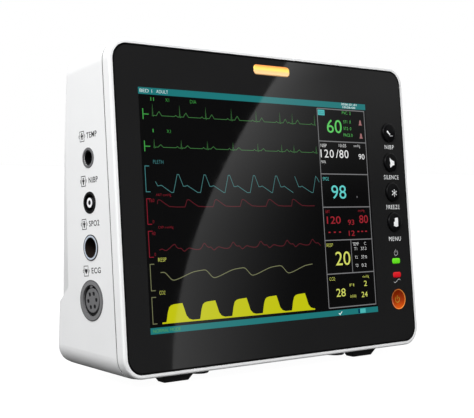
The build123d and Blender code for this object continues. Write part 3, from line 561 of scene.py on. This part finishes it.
def breath_row():
    """Breathing trace, and the brackets of the two lowest rows."""
    olive = lit("screen_olive_traces", (0.19, 0.20, 0.10), 1.0)
    bracket(olive, -28.0, -41.6)
    bracket(olive, -45.0, -58.6)
    breath = [(0, -32.6), (2.2, -34.4), (4.2, -36.3), (6.2, -36.8), (10.0, -35.9), (14.5, -34.4),
              (19.0, -33.1), (24.5, -32.5)]
    line = [(-77.0, -32.5)]
    for i in range(4):
        line += [(-74.4 + 27.3 * i + dx, z) for dx, z in breath]
    olive.strip(smooth([p for p in line if p[0] < 33], 3), 0.4)
    olive.done()


def gas_row():
    """Five filled humps, and the yellow labels and numbers."""
    yellow = lit("screen_yellow", (0.52, 0.53, 0.006), 1.0)
    yellow.bar(-77.5, 32.0, -59.0, -58.2)
    hill = [(0.0, -58.3), (1.3, -53.0), (2.3, -50.6), (3.6, -49.7), (5.4, -49.3), (10.9, -49.0),
            (12.2, -52.6), (13.2, -55.6), (15.2, -57.8), (17.6, -58.3)]
    for i in range(5):
        outline = [(-74.9 + 22.15 * i + dx, z) for dx, z in hill]
        yellow.fan(-68.4 + 22.15 * i, -55.0, outline)
    yellow.done()
    yellow = lit("screen_numbers_yellow", (0.64, 0.68, 0.13), 1.0)
    yellow.text("RESP", -78.1, -72.9, -26.9, -24.9)
    yellow.text("CO2", -78.4, -74.7, -43.9, -41.9)
    for row in (
        ("RESP", 44.5, 49.8, -23.0, -21.0), ("20", 51.3, 63.8, -34.3, -26.1),
        ("CO2", 45.2, 49.8, -43.0, -41.0), ("mmHg", 73.5, 79.0, -43.0, -41.0),
        ("28", 50.2, 58.0, -52.8, -48.0), ("2", 74.3, 76.9, -47.6, -44.4), ("24", 71.6, 76.8, -54.2, -51.0),
        ("FI", 61.9, 65.5, -47.2, -45.6), ("AWRR", 61.7, 67.0, -54.1, -52.3),
    ):
        yellow.text(*row)
    yellow.done()


# each colour's numbers and labels: words, left, right, lower and upper edge, mm, and letter gap where wider
NUMBERS = {
    "green": ((0.11, 0.57, 0.12), [
        ("60", 50.8, 63.4, 45.1, 53.1), ("PVC  2", 64.4, 71.9, 56.8, 58.6),
        ("ST1  0", 65.2, 71.5, 51.4, 53.2), ("ST2  0", 65.0, 71.6, 47.3, 49.1),
        ("PACE 0", 64.6, 72.4, 43.3, 45.1),
    ]),
    "white": ((0.82, 0.82, 0.82), [
        ("NIBP", 44.6, 49.6, 36.3, 38.3), ("10:05", 60.0, 66.2, 36.7, 38.6), ("mmHg", 72.9, 78.4, 36.6, 38.6),
        ("120", 44.2, 55.2, 30.1, 34.9, 1.15), ("/", 57.0, 59.4, 30.1, 35.1),
        ("80", 60.0, 67.8, 30.1, 35.0, 1.1), ("90", 76.6, 81.8, 29.6, 32.9), ("MAN", 44.1, 48.0, 26.6, 28.4),
        ("TEMP", 66.6, 71.8, -22.9, -21.0), ("C", 76.6, 78.2, -22.7, -21.0),
        ("T1", 67.7, 70.1, -25.7, -24.0), ("37.2", 73.5, 78.4, -25.8, -23.9),
        ("T2", 67.7, 70.2, -30.8, -29.1), ("37.0", 73.4, 78.2, -30.9, -29.0),
        ("TD", 67.9, 70.4, -35.8, -34.1), ("0.2", 73.4, 77.4, -35.9, -34.0),
    ]),
    "cyan": ((0.12, 0.60, 0.57), [("SPO2", 44.7, 49.6, 16.4, 18.4), ("98", 51.3, 63.7, 5.5, 13.6)]),
    "red": ((0.34, 0.020, 0.030), [
        ("ART", 45.2, 48.8, -3.0, -1.2), ("mmHg", 73.1, 78.6, -3.0, -1.0), ("120", 46.0, 57.6, -9.4, -5.0),
        ("93", 63.7, 69.0, -10.3, -7.2), ("80", 73.7, 81.3, -9.4, -4.6), ("12", 63.9, 69.0, -16.9, -13.8),
    ]),
}


def numbers():
    for name, (rgb, rows) in NUMBERS.items():
        ink = lit(f"screen_numbers_{name}", rgb, 1.0)
        for row in rows:
            ink.text(*row)
        if name == "red":
            for x in (47.6, 52.0, 56.4, 72.2, 75.6, 79.0):
                ink.bar(x - 0.8, x + 0.8, -14.8, -14.1)
        ink.done()


def bar_texts():
    """Words and tags on the header and footer bars, and the first box's tag."""
    top = lit("screen_bar_text", (0.85, 0.95, 0.95), 1.0, 0.03)
    top.text("BED 1", -84.2, -76.4, 61.3, 63.0)
    top.text("ADULT", -73.6, -66.0, 61.3, 63.0)
    top.text("2026-01-01", 64.1, 77.5, 62.4, 63.6, 1.0, 0.0)
    top.text("10:05:00", 65.3, 76.2, 60.6, 61.8, 1.0, 0.0)
    top.strip([(51.2, -62.4), (52.2, -63.3), (54.0, -61.6)], 0.45)
    top.done()
    tag = lit("screen_tags", (0.07, 0.45, 0.44), 1.0, 0.03)
    tag.bar(43.9, 49.5, 55.4, 58.7)
    tag.bar(69.4, 74.2, -63.6, -61.0)
    tag.done()
    dark = lit("screen_tag_text", (0.0, 0.03, 0.08), 1.0, 0.05)
    dark.text("ECG", 44.7, 48.7, 56.2, 57.9)
    dark.bar(67.8, 69.4, -63.6, -61.0)
    dark.done()
    foot = lit("screen_bar_green", (0.12, 0.38, 0.05), 1.0, 0.03)
    foot.text("NORMAL MODE", -83.6, -66.0, -63.1, -61.4)
    foot.done()


def alarm_bells():
    pink = lit("screen_pink_marks", (0.34, 0.15, 0.15), 1.0)
    for x, z in ((79.8, 52.2), (79.9, 44.1)):
        pink.fan(x, z - 0.4, [(x - 1.5, z - 1.6), (x + 1.5, z - 1.6), (x + 0.9, z - 0.6), (x + 0.7, z + 1.0),
                              (x, z + 1.8), (x - 0.7, z + 1.0), (x - 0.9, z - 0.6)])
    pink.done()


def draw_screen():
    screen_ground()
    number_boxes()
    heart_rows()
    pulse_row()
    pressure_rows()
    breath_row()
    gas_row()
    numbers()
    bar_texts()
    alarm_bells()


draw_screen()

# ---------------------------------------------------------------- printed legends on the front, and a painted highlight on the power key's rim
def on_crown(key):
    """Point just above a key's crowned face."""
    radius = (KEY_R ** 2 + CROWN_RISE ** 2) / (2 * CROWN_RISE)

    def place(x, z):
        reach = math.hypot(x - KEY_X, z - KEY_Z[key])
        return on_front(x, CROWN_Y + radius - math.sqrt(radius ** 2 - reach ** 2) - CROWN_LIFT, z)

    return place


def on_dish(x, z):
    """Point just above the power key's dished face."""
    radius = (POWER_R ** 2 + DISH_DEPTH ** 2) / (2 * DISH_DEPTH)
    reach = math.hypot(x - KEY_X, z - KEY_Z["power"])
    depth = DISH_Y + DISH_DEPTH - radius + math.sqrt(radius ** 2 - reach ** 2)
    return on_front(x, depth - DISH_LIFT, z)


def key_ink(key, mat=None, place=None):
    return Ink(f"{key}_symbol", mat or ink_white, "lamp_white", place or on_crown(key), f"{key}_button")


def front_legends():
    legend = Ink("front_legends", ink_white, "lamp_white", lambda x, z: on_front(x, LEGEND_Y, z))
    for words, x0, x1, z in (("NIBP", 91.2, 99.4, 36.4), ("SILENCE", 88.7, 102.2, 17.5),
                             ("FREEZE", 89.2, 101.2, -1.1), ("MENU", 89.7, 100.6, -20.9)):
        legend.text(words, x0, x1, z - 1.3, z + 1.3, 1.2)
    legend.done()
    legend = Ink("indicator_legends", ink_faint, "lamp_white", lambda x, z: on_front(x, LEGEND_Y, z))
    legend.ring(95.1, -29.6, 1.6, 1.6, 0.32, 125, 415)
    legend.bar(94.94, 95.26, -29.4, -27.4)
    wave = []
    for i in range(14):
        wave.append((91.6 + 0.48 * i, -47.3 - 0.75 * math.sin(math.radians(15 + 27 * i)) + 0.06 * i))
    legend.strip(wave, 0.34)
    legend.done()


def key_symbols():
    """An arm and its cuff, a bell, a snowflake and a page on the four black keys."""
    arm = key_ink("nibp")
    arm.strip([(92.2, 46.3), (92.8, 45.4), (93.6, 44.6), (94.5, 43.9)], 0.95)
    arm.done()
    cuff = Ink("nibp_symbol_cuff", ink_dim, "lamp_white", on_crown("nibp"), "nibp_button")
    cuff.bar(94.3, 97.2, 42.8, 43.6)
    cuff.done()
    bell = key_ink("silence")
    bell.fan(94.8, 26.3, [(93.0, 29.3), (94.3, 28.2), (95.7, 27.6), (96.8, 27.4), (96.8, 25.0), (95.7, 24.8),
                          (94.3, 24.2), (93.2, 23.1)])
    bell.done()
    flake = key_ink("freeze")
    x, z = 95.1, 7.5
    for i in range(3):
        a = math.radians(90 + 60 * i)
        flake.strip([(x + r * math.cos(a), z + r * math.sin(a)) for r in (-2.4, -1.2, 0, 1.2, 2.4)], 0.34)
    for i in range(6):
        a = math.radians(90 + 60 * i)
        tip = (x + 1.6 * math.cos(a), z + 1.6 * math.sin(a))
        ends = [(tip[0] + 0.6 * math.cos(a + s), tip[1] + 0.6 * math.sin(a + s)) for s in (-0.8, 0.8)]
        flake.strip([ends[0], tip, ends[1]], 0.22)
    flake.done()
    page = key_ink("menu")
    page.fan(95.3, -10.7, [(93.9, -8.2), (95.4, -7.9), (96.9, -8.0), (96.9, -10.5), (96.8, -13.2),
                           (95.3, -13.5), (93.9, -13.3), (92.9, -12.9), (92.9, -10.4), (93.9, -10.2)])
    page.done()


def power_symbol():
    """On-off symbol in the power key's dish, and a painted highlight ring on its rim, glowing faintly."""
    on_off = key_ink("power", surface("key_amber_symbol", (0.46, 0.26, 0.02), 0.5, level=0.1), on_dish)
    on_off.ring(95.0, -58.5, 1.9, 1.8, 0.55, 125, 415)
    on_off.strip([(95.0, -58.4), (95.0, -57.2), (95.0, -56.0)], 0.55)
    on_off.done()
    # painted highlight: a bright, faintly glowing ring on the power key's rim
    rim_highlight_mat = surface("key_amber_rim_highlight", (1.0, 0.36, 0.06), 0.25, coat=0.5,
                      glow=(1.0, 0.3, 0.05), strength=0.10)
    rim = Ink("power_rim_highlight", rim_highlight_mat, "key_orange", on_dish, "power_button")
    rim.ring(95.0, -58.3, 5.95, 5.95, 0.36, steps=48)
    rim.done()


front_legends()
key_symbols()
power_symbol()

# ---------------------------------------------------------------- printed legends on the left wall, and painted shade and highlights at its sockets
LABELS = (("TEMP", 28.1, 39.5, 4.3, 9.8), ("NIBP", 28.8, 16.1, 5.1, 8.6), ("SPO2", 30.0, -6.3, 4.6, 9.8),
          ("ECG", 30.3, -30.6, 5.2, 8.6))  # words, place, the gap before them and their width, mm


def side_legends():
    """Applied-part symbol and the socket's use; drawn with x running from the rear to the front."""
    legend = Ink("side_legends", ink_grey, "switch_plastic", lambda x, z: on_front(SIDE_X - 0.03, -x, z))
    for words, y, z, gap, width in LABELS:
        x = -y - 0.35
        w, h = 1.95, 2.6
        box = [(x - w, z - h), (x + w, z - h), (x + w, z + h), (x - w, z + h)]
        legend.strip(box, 0.38, True)
        for side in (-1, 1):
            legend.strip([(x + side * 2.6, z + 0.9), (x + side * 3.0, z), (x + side * 2.6, z - 0.9)], 0.38)
        if words == "ECG":
            legend.fan(x, z, [(x, z - 1.7), (x + 1.2, z - 0.2), (x + 1.35, z + 0.7), (x + 0.9, z + 1.3),
                              (x, z + 0.8), (x - 0.9, z + 1.3), (x - 1.35, z + 0.7), (x - 1.2, z - 0.2)])
        else:
            legend.ring(x, z + 1.3, 0.3, 0.3, 0.6, steps=10)
            legend.fan(x, z, [(x - 1.2, z + 0.7), (x + 1.2, z + 0.7), (x + 1.0, z - 0.3),
                              (x + 0.55, z - 0.4), (x + 0.5, z - 1.8), (x - 0.5, z - 1.8),
                              (x - 0.55, z - 0.4), (x - 1.0, z - 0.3)])
        start = x + gap
        legend.text(words, start, start + width, z - 1.5, z + 1.5, 1.1, 0.015)
    legend.done()


OXIMETER_AT, ECG_AT, CUFF_AT = (0.0, 69.6), (1.5, 42.3), (-1.9, 92.8)  # middles on the left wall, mm
RING_FACE, OUTLINE_FACE, LIP_FACE = -0.32, -0.33, -0.13  # just off the sockets' faces, mm from the wall
GROOVE_SHADE, CONTACT_SHADE, AIR_SHADE = 0.9, 0.5, 0.1  # inside the sockets' openings, mm from the wall
CONTACT_CIRCLE, CONTACT_TURN = 3.8, 11  # radius of the circle of contacts, mm, and the first one's degrees


def disc(x, z, radius):
    """Middle and outline of a round spot."""
    angles = [math.radians(24 * i) for i in range(15)]
    return x, z, [(x + radius * math.cos(a), z + radius * math.sin(a)) for a in angles]


def on_wall(depth):
    """World y and z in mm (x running from the rear to the front) on a plane beside the left wall."""
    return lambda x, z: Vector((SIDE_X + depth, -x, z)) * MM


def oximeter_lines():
    """Pale ring of painted sheen on the socket's face, standing for its bright metal, between two dark
    outlines of painted shade.
    """
    # painted sheen: a pale sheet in place of the ring face's bright metal look
    pale = surface("oximeter_ring_painted_sheen", (0.50, 0.56, 0.64), 0.3, grain=2200, bump=0.08, level=0.3)
    ring_sheen = Ink("oximeter_ring_face", pale, "bright_metal", on_wall(RING_FACE))
    ring_sheen.ring(*OXIMETER_AT, 5.85, 5.85, 1.1, steps=48)
    ring_sheen.done()
    # painted shade: dark outlines in the gap round the ring and at its inner edge
    rim = Ink("oximeter_outline_shades", painted_shade_ink, "socket_black", on_wall(OUTLINE_FACE))
    rim.ring(*OXIMETER_AT, 6.55, 6.55, 0.5, steps=48)
    rim.ring(*OXIMETER_AT, 5.2, 5.2, 0.3, steps=48)
    rim.done()


def ecg_lines():
    """Painted shadow round the socket's outline, and dark sheets of painted shade inside its groove and
    contact holes.
    """
    # painted shadow round the socket's edge; the groove and contact holes get black sheets of painted shade
    shade_mat = surface("socket_shadow_grey", (0.05, 0.05, 0.052), 0.5, grain=2200, bump=0.1, level=0.2)
    edge = Ink("ecg_outline_shadow", shade_mat, "socket_grey", on_wall(OUTLINE_FACE))
    edge.ring(*ECG_AT, 10.4, 10.4, 0.42, steps=48)
    edge.done()
    groove = Ink("ecg_groove_shade", painted_shade_ink, "socket_grey", on_wall(GROOVE_SHADE))
    groove.ring(*ECG_AT, 7.27, 7.27, 1.75, steps=48)
    groove.done()
    holes = Ink("ecg_contact_shades", painted_shade_ink, "socket_grey", on_wall(CONTACT_SHADE))
    for i in range(6):
        a = math.radians(CONTACT_TURN + 60 * i)
        x, z = ECG_AT[0] + CONTACT_CIRCLE * math.cos(a), ECG_AT[1] + CONTACT_CIRCLE * math.sin(a)
        holes.fan(*disc(x, z, 1.05))
    holes.done()


def nipple_lines():
    """Painted highlight on the cuff port's lip, and a dark sheet of painted shade inside its air way."""
    # painted highlight: a pale ring on the port's lip
    lip_highlight_mat = surface("nipple_lip_highlight", (0.88, 0.88, 0.9), 0.3, grain=2200, bump=0.08)
    lip = Ink("nibp_nipple_lip_highlight", lip_highlight_mat, "bright_metal", on_wall(LIP_FACE))
    lip.ring(*CUFF_AT, 1.88, 1.88, 1.3, steps=32)
    lip.done()
    # painted shade: a black sheet inside the port's hole
    hole = Ink("nibp_air_way_shade", painted_shade_ink, "socket_black", on_wall(AIR_SHADE))
    hole.fan(*disc(*CUFF_AT, 1.15))
    hole.done()


oximeter_lines()
ecg_lines()
nipple_lines()
side_legends()


# ---------------------------------------------------------------- studio
def stage_plane(name, size, place, mat):
    mesh = bpy.data.meshes.new(name)
    x, y = size[0] / 2, size[1] / 2
    mesh.from_pydata([(-x, -y, 0), (x, -y, 0), (x, y, 0), (-x, y, 0)], [], [(0, 1, 2, 3)])
    mesh.materials.append(mat)
    plane = bpy.data.objects.new(name, mesh)
    plane.matrix_world = place
    bpy.context.scene.collection.objects.link(plane)
    return plane


REFLECTOR_LEVEL = 0.80
REFLECTOR_AT = Vector((0.570, -0.690, 0.220))  # the hidden card's middle, metres
REFLECTOR_AXIS = Vector((0.7508, 0.6605, 0))  # the way its width runs
EDGE_CURVE = (0.986, 0.533, -0.0702)  # x of the bright field's edge: square, slope and start over y
FADE_REACH, REACH_LOSS = 0.19, 1.06  # metres to black, less this for each metre between the two heights
REACH_FROM, REACH_SPAN = 0.09, 0.08
GAIN_FROM, GAIN_SPAN, GAIN = -0.03, 0.12, 2.0  # brighter at the edge from this height up
UPPER_SLOPE, UPPER_LEVEL = 7.0, 0.27  # even light over the upper part


def reflector_material():
    """Dark card with a bright field to the right of a curved edge, fading away from it."""
    mat = bpy.data.materials.new("studio_reflector")
    mat.use_nodes = True
    tree = mat.node_tree
    tree.nodes.clear()
    out = tree.nodes.new("ShaderNodeOutputMaterial")
    glow = tree.nodes.new("ShaderNodeEmission")
    split = tree.nodes.new("ShaderNodeSeparateXYZ")
    tree.links.new(tree.nodes.new("ShaderNodeTexCoord").outputs["Object"], split.inputs["Vector"])

    def calc(kind, a, b=0.0):
        node = tree.nodes.new("ShaderNodeMath")
        node.operation = kind
        for socket, value in zip(node.inputs, (a, b)):
            if isinstance(value, (int, float)):
                socket.default_value = value
            else:
                tree.links.new(value, socket)
        return node.outputs[0]

    x, y = split.outputs["X"], split.outputs["Y"]
    square, slope, start = EDGE_CURVE
    edge = calc("ADD", calc("MULTIPLY", calc("MULTIPLY", y, y), square), calc("MULTIPLY", y, slope))
    edge = calc("ADD", edge, start)
    away = calc("SUBTRACT", x, edge)
    inside = calc("GREATER_THAN", away, 0.0)
    higher = calc("MINIMUM", calc("MAXIMUM", calc("SUBTRACT", y, REACH_FROM), 0.0), REACH_SPAN)
    reach = calc("SUBTRACT", FADE_REACH, calc("MULTIPLY", higher, REACH_LOSS))
    fade = calc("MAXIMUM", calc("SUBTRACT", 1.0, calc("DIVIDE", away, reach)), 0.0)
    lift = calc("MINIMUM", calc("MAXIMUM", calc("SUBTRACT", y, GAIN_FROM), 0.0), GAIN_SPAN)
    gain = calc("ADD", calc("MULTIPLY", lift, GAIN), 1.0)
    fade = calc("MULTIPLY", calc("MULTIPLY", fade, fade), gain)
    upper = calc("MINIMUM", calc("MAXIMUM", calc("MULTIPLY", y, UPPER_SLOPE), 0.0), 1.0)
    upper = calc("MULTIPLY", upper, UPPER_LEVEL)
    level = calc("MULTIPLY", calc("MULTIPLY", calc("ADD", fade, upper), inside), REFLECTOR_LEVEL)
    tree.links.new(level, glow.inputs["Strength"])
    tree.links.new(glow.outputs["Emission"], out.inputs["Surface"])
    return mat


def studio():
    """White floor, hidden reflector card, a world that is dark below the horizon, and two lamps."""
    floor_mat = surface("floor_white", (0.06, 0.06, 0.06), 0.8, grain=400, mottle=0.004, bump=0.02,
                        glow=(1, 1, 1), strength=0.97)
    floor = stage_plane("studio_floor", (90, 90), Matrix.Identity(4), floor_mat)
    floor.visible_diffuse = False
    floor.visible_glossy = False

    up = Vector((0, 0, 1))
    facing = REFLECTOR_AXIS.cross(up)
    turn = Matrix((REFLECTOR_AXIS, up, facing)).transposed().to_4x4()
    place = Matrix.Translation(REFLECTOR_AT) @ turn
    card = stage_plane("studio_reflector", (1.5, 1.0), place, reflector_material())
    card.visible_camera = card.visible_diffuse = card.visible_shadow = card.visible_transmission = False

    world = bpy.data.worlds.new("studio")
    bpy.context.scene.world = world
    world.use_nodes = True
    tree = world.node_tree
    back = tree.nodes["Background"]
    split = tree.nodes.new("ShaderNodeSeparateXYZ")
    tree.links.new(tree.nodes.new("ShaderNodeTexCoord").outputs["Generated"], split.inputs["Vector"])
    height = remap(tree, split.outputs["Z"], 0, 1, -0.10, 0.0)
    sky = ramp(tree, height, [(0, (0.05, 0.05, 0.05)), (1, (1.0, 1.0, 1.0))])
    tree.links.new(sky, back.inputs["Color"])
    back.inputs["Strength"].default_value = 1.0

    for name, place, aim, size, power in (
        ("key_light", (-0.60, -0.25, 0.60), (-0.05, 0, 0.12), 0.45, 4.1),
        ("front_light", (-0.15, -1.2, 0.85), (0, 0, 0.09), 0.7, 3.0),
    ):
        light = bpy.data.lights.new(name, "AREA")
        light.shape, light.size, light.energy = "DISK", size, power
        lamp = bpy.data.objects.new(name, light)
        lamp.location = place
        lamp.rotation_euler = (Vector(aim) - Vector(place)).to_track_quat("-Z", "Y").to_euler()
        bpy.context.scene.collection.objects.link(lamp)


studio()

# ---------------------------------------------------------------- camera
CAMERA_AT = Vector((-0.41394, -0.47547, 0.11214))
CAMERA_LOOK = Vector((0.64460, 0.76360, -0.03748))
CAMERA_UP = Vector((0.00826, 0.04207, 0.99908))


def camera():
    data = bpy.data.cameras.new("camera")
    data.lens, data.sensor_width = 82.32, 36
    eye = bpy.data.objects.new("camera", data)
    right = CAMERA_LOOK.cross(CAMERA_UP).normalized()
    up = right.cross(CAMERA_LOOK).normalized()
    turn = Matrix((right, up, -CAMERA_LOOK.normalized())).transposed().to_4x4()
    eye.matrix_world = Matrix.Translation(CAMERA_AT) @ turn
    bpy.context.scene.collection.objects.link(eye)
    bpy.context.scene.camera = eye


camera()
bpy.context.scene.view_settings.view_transform = "Standard"
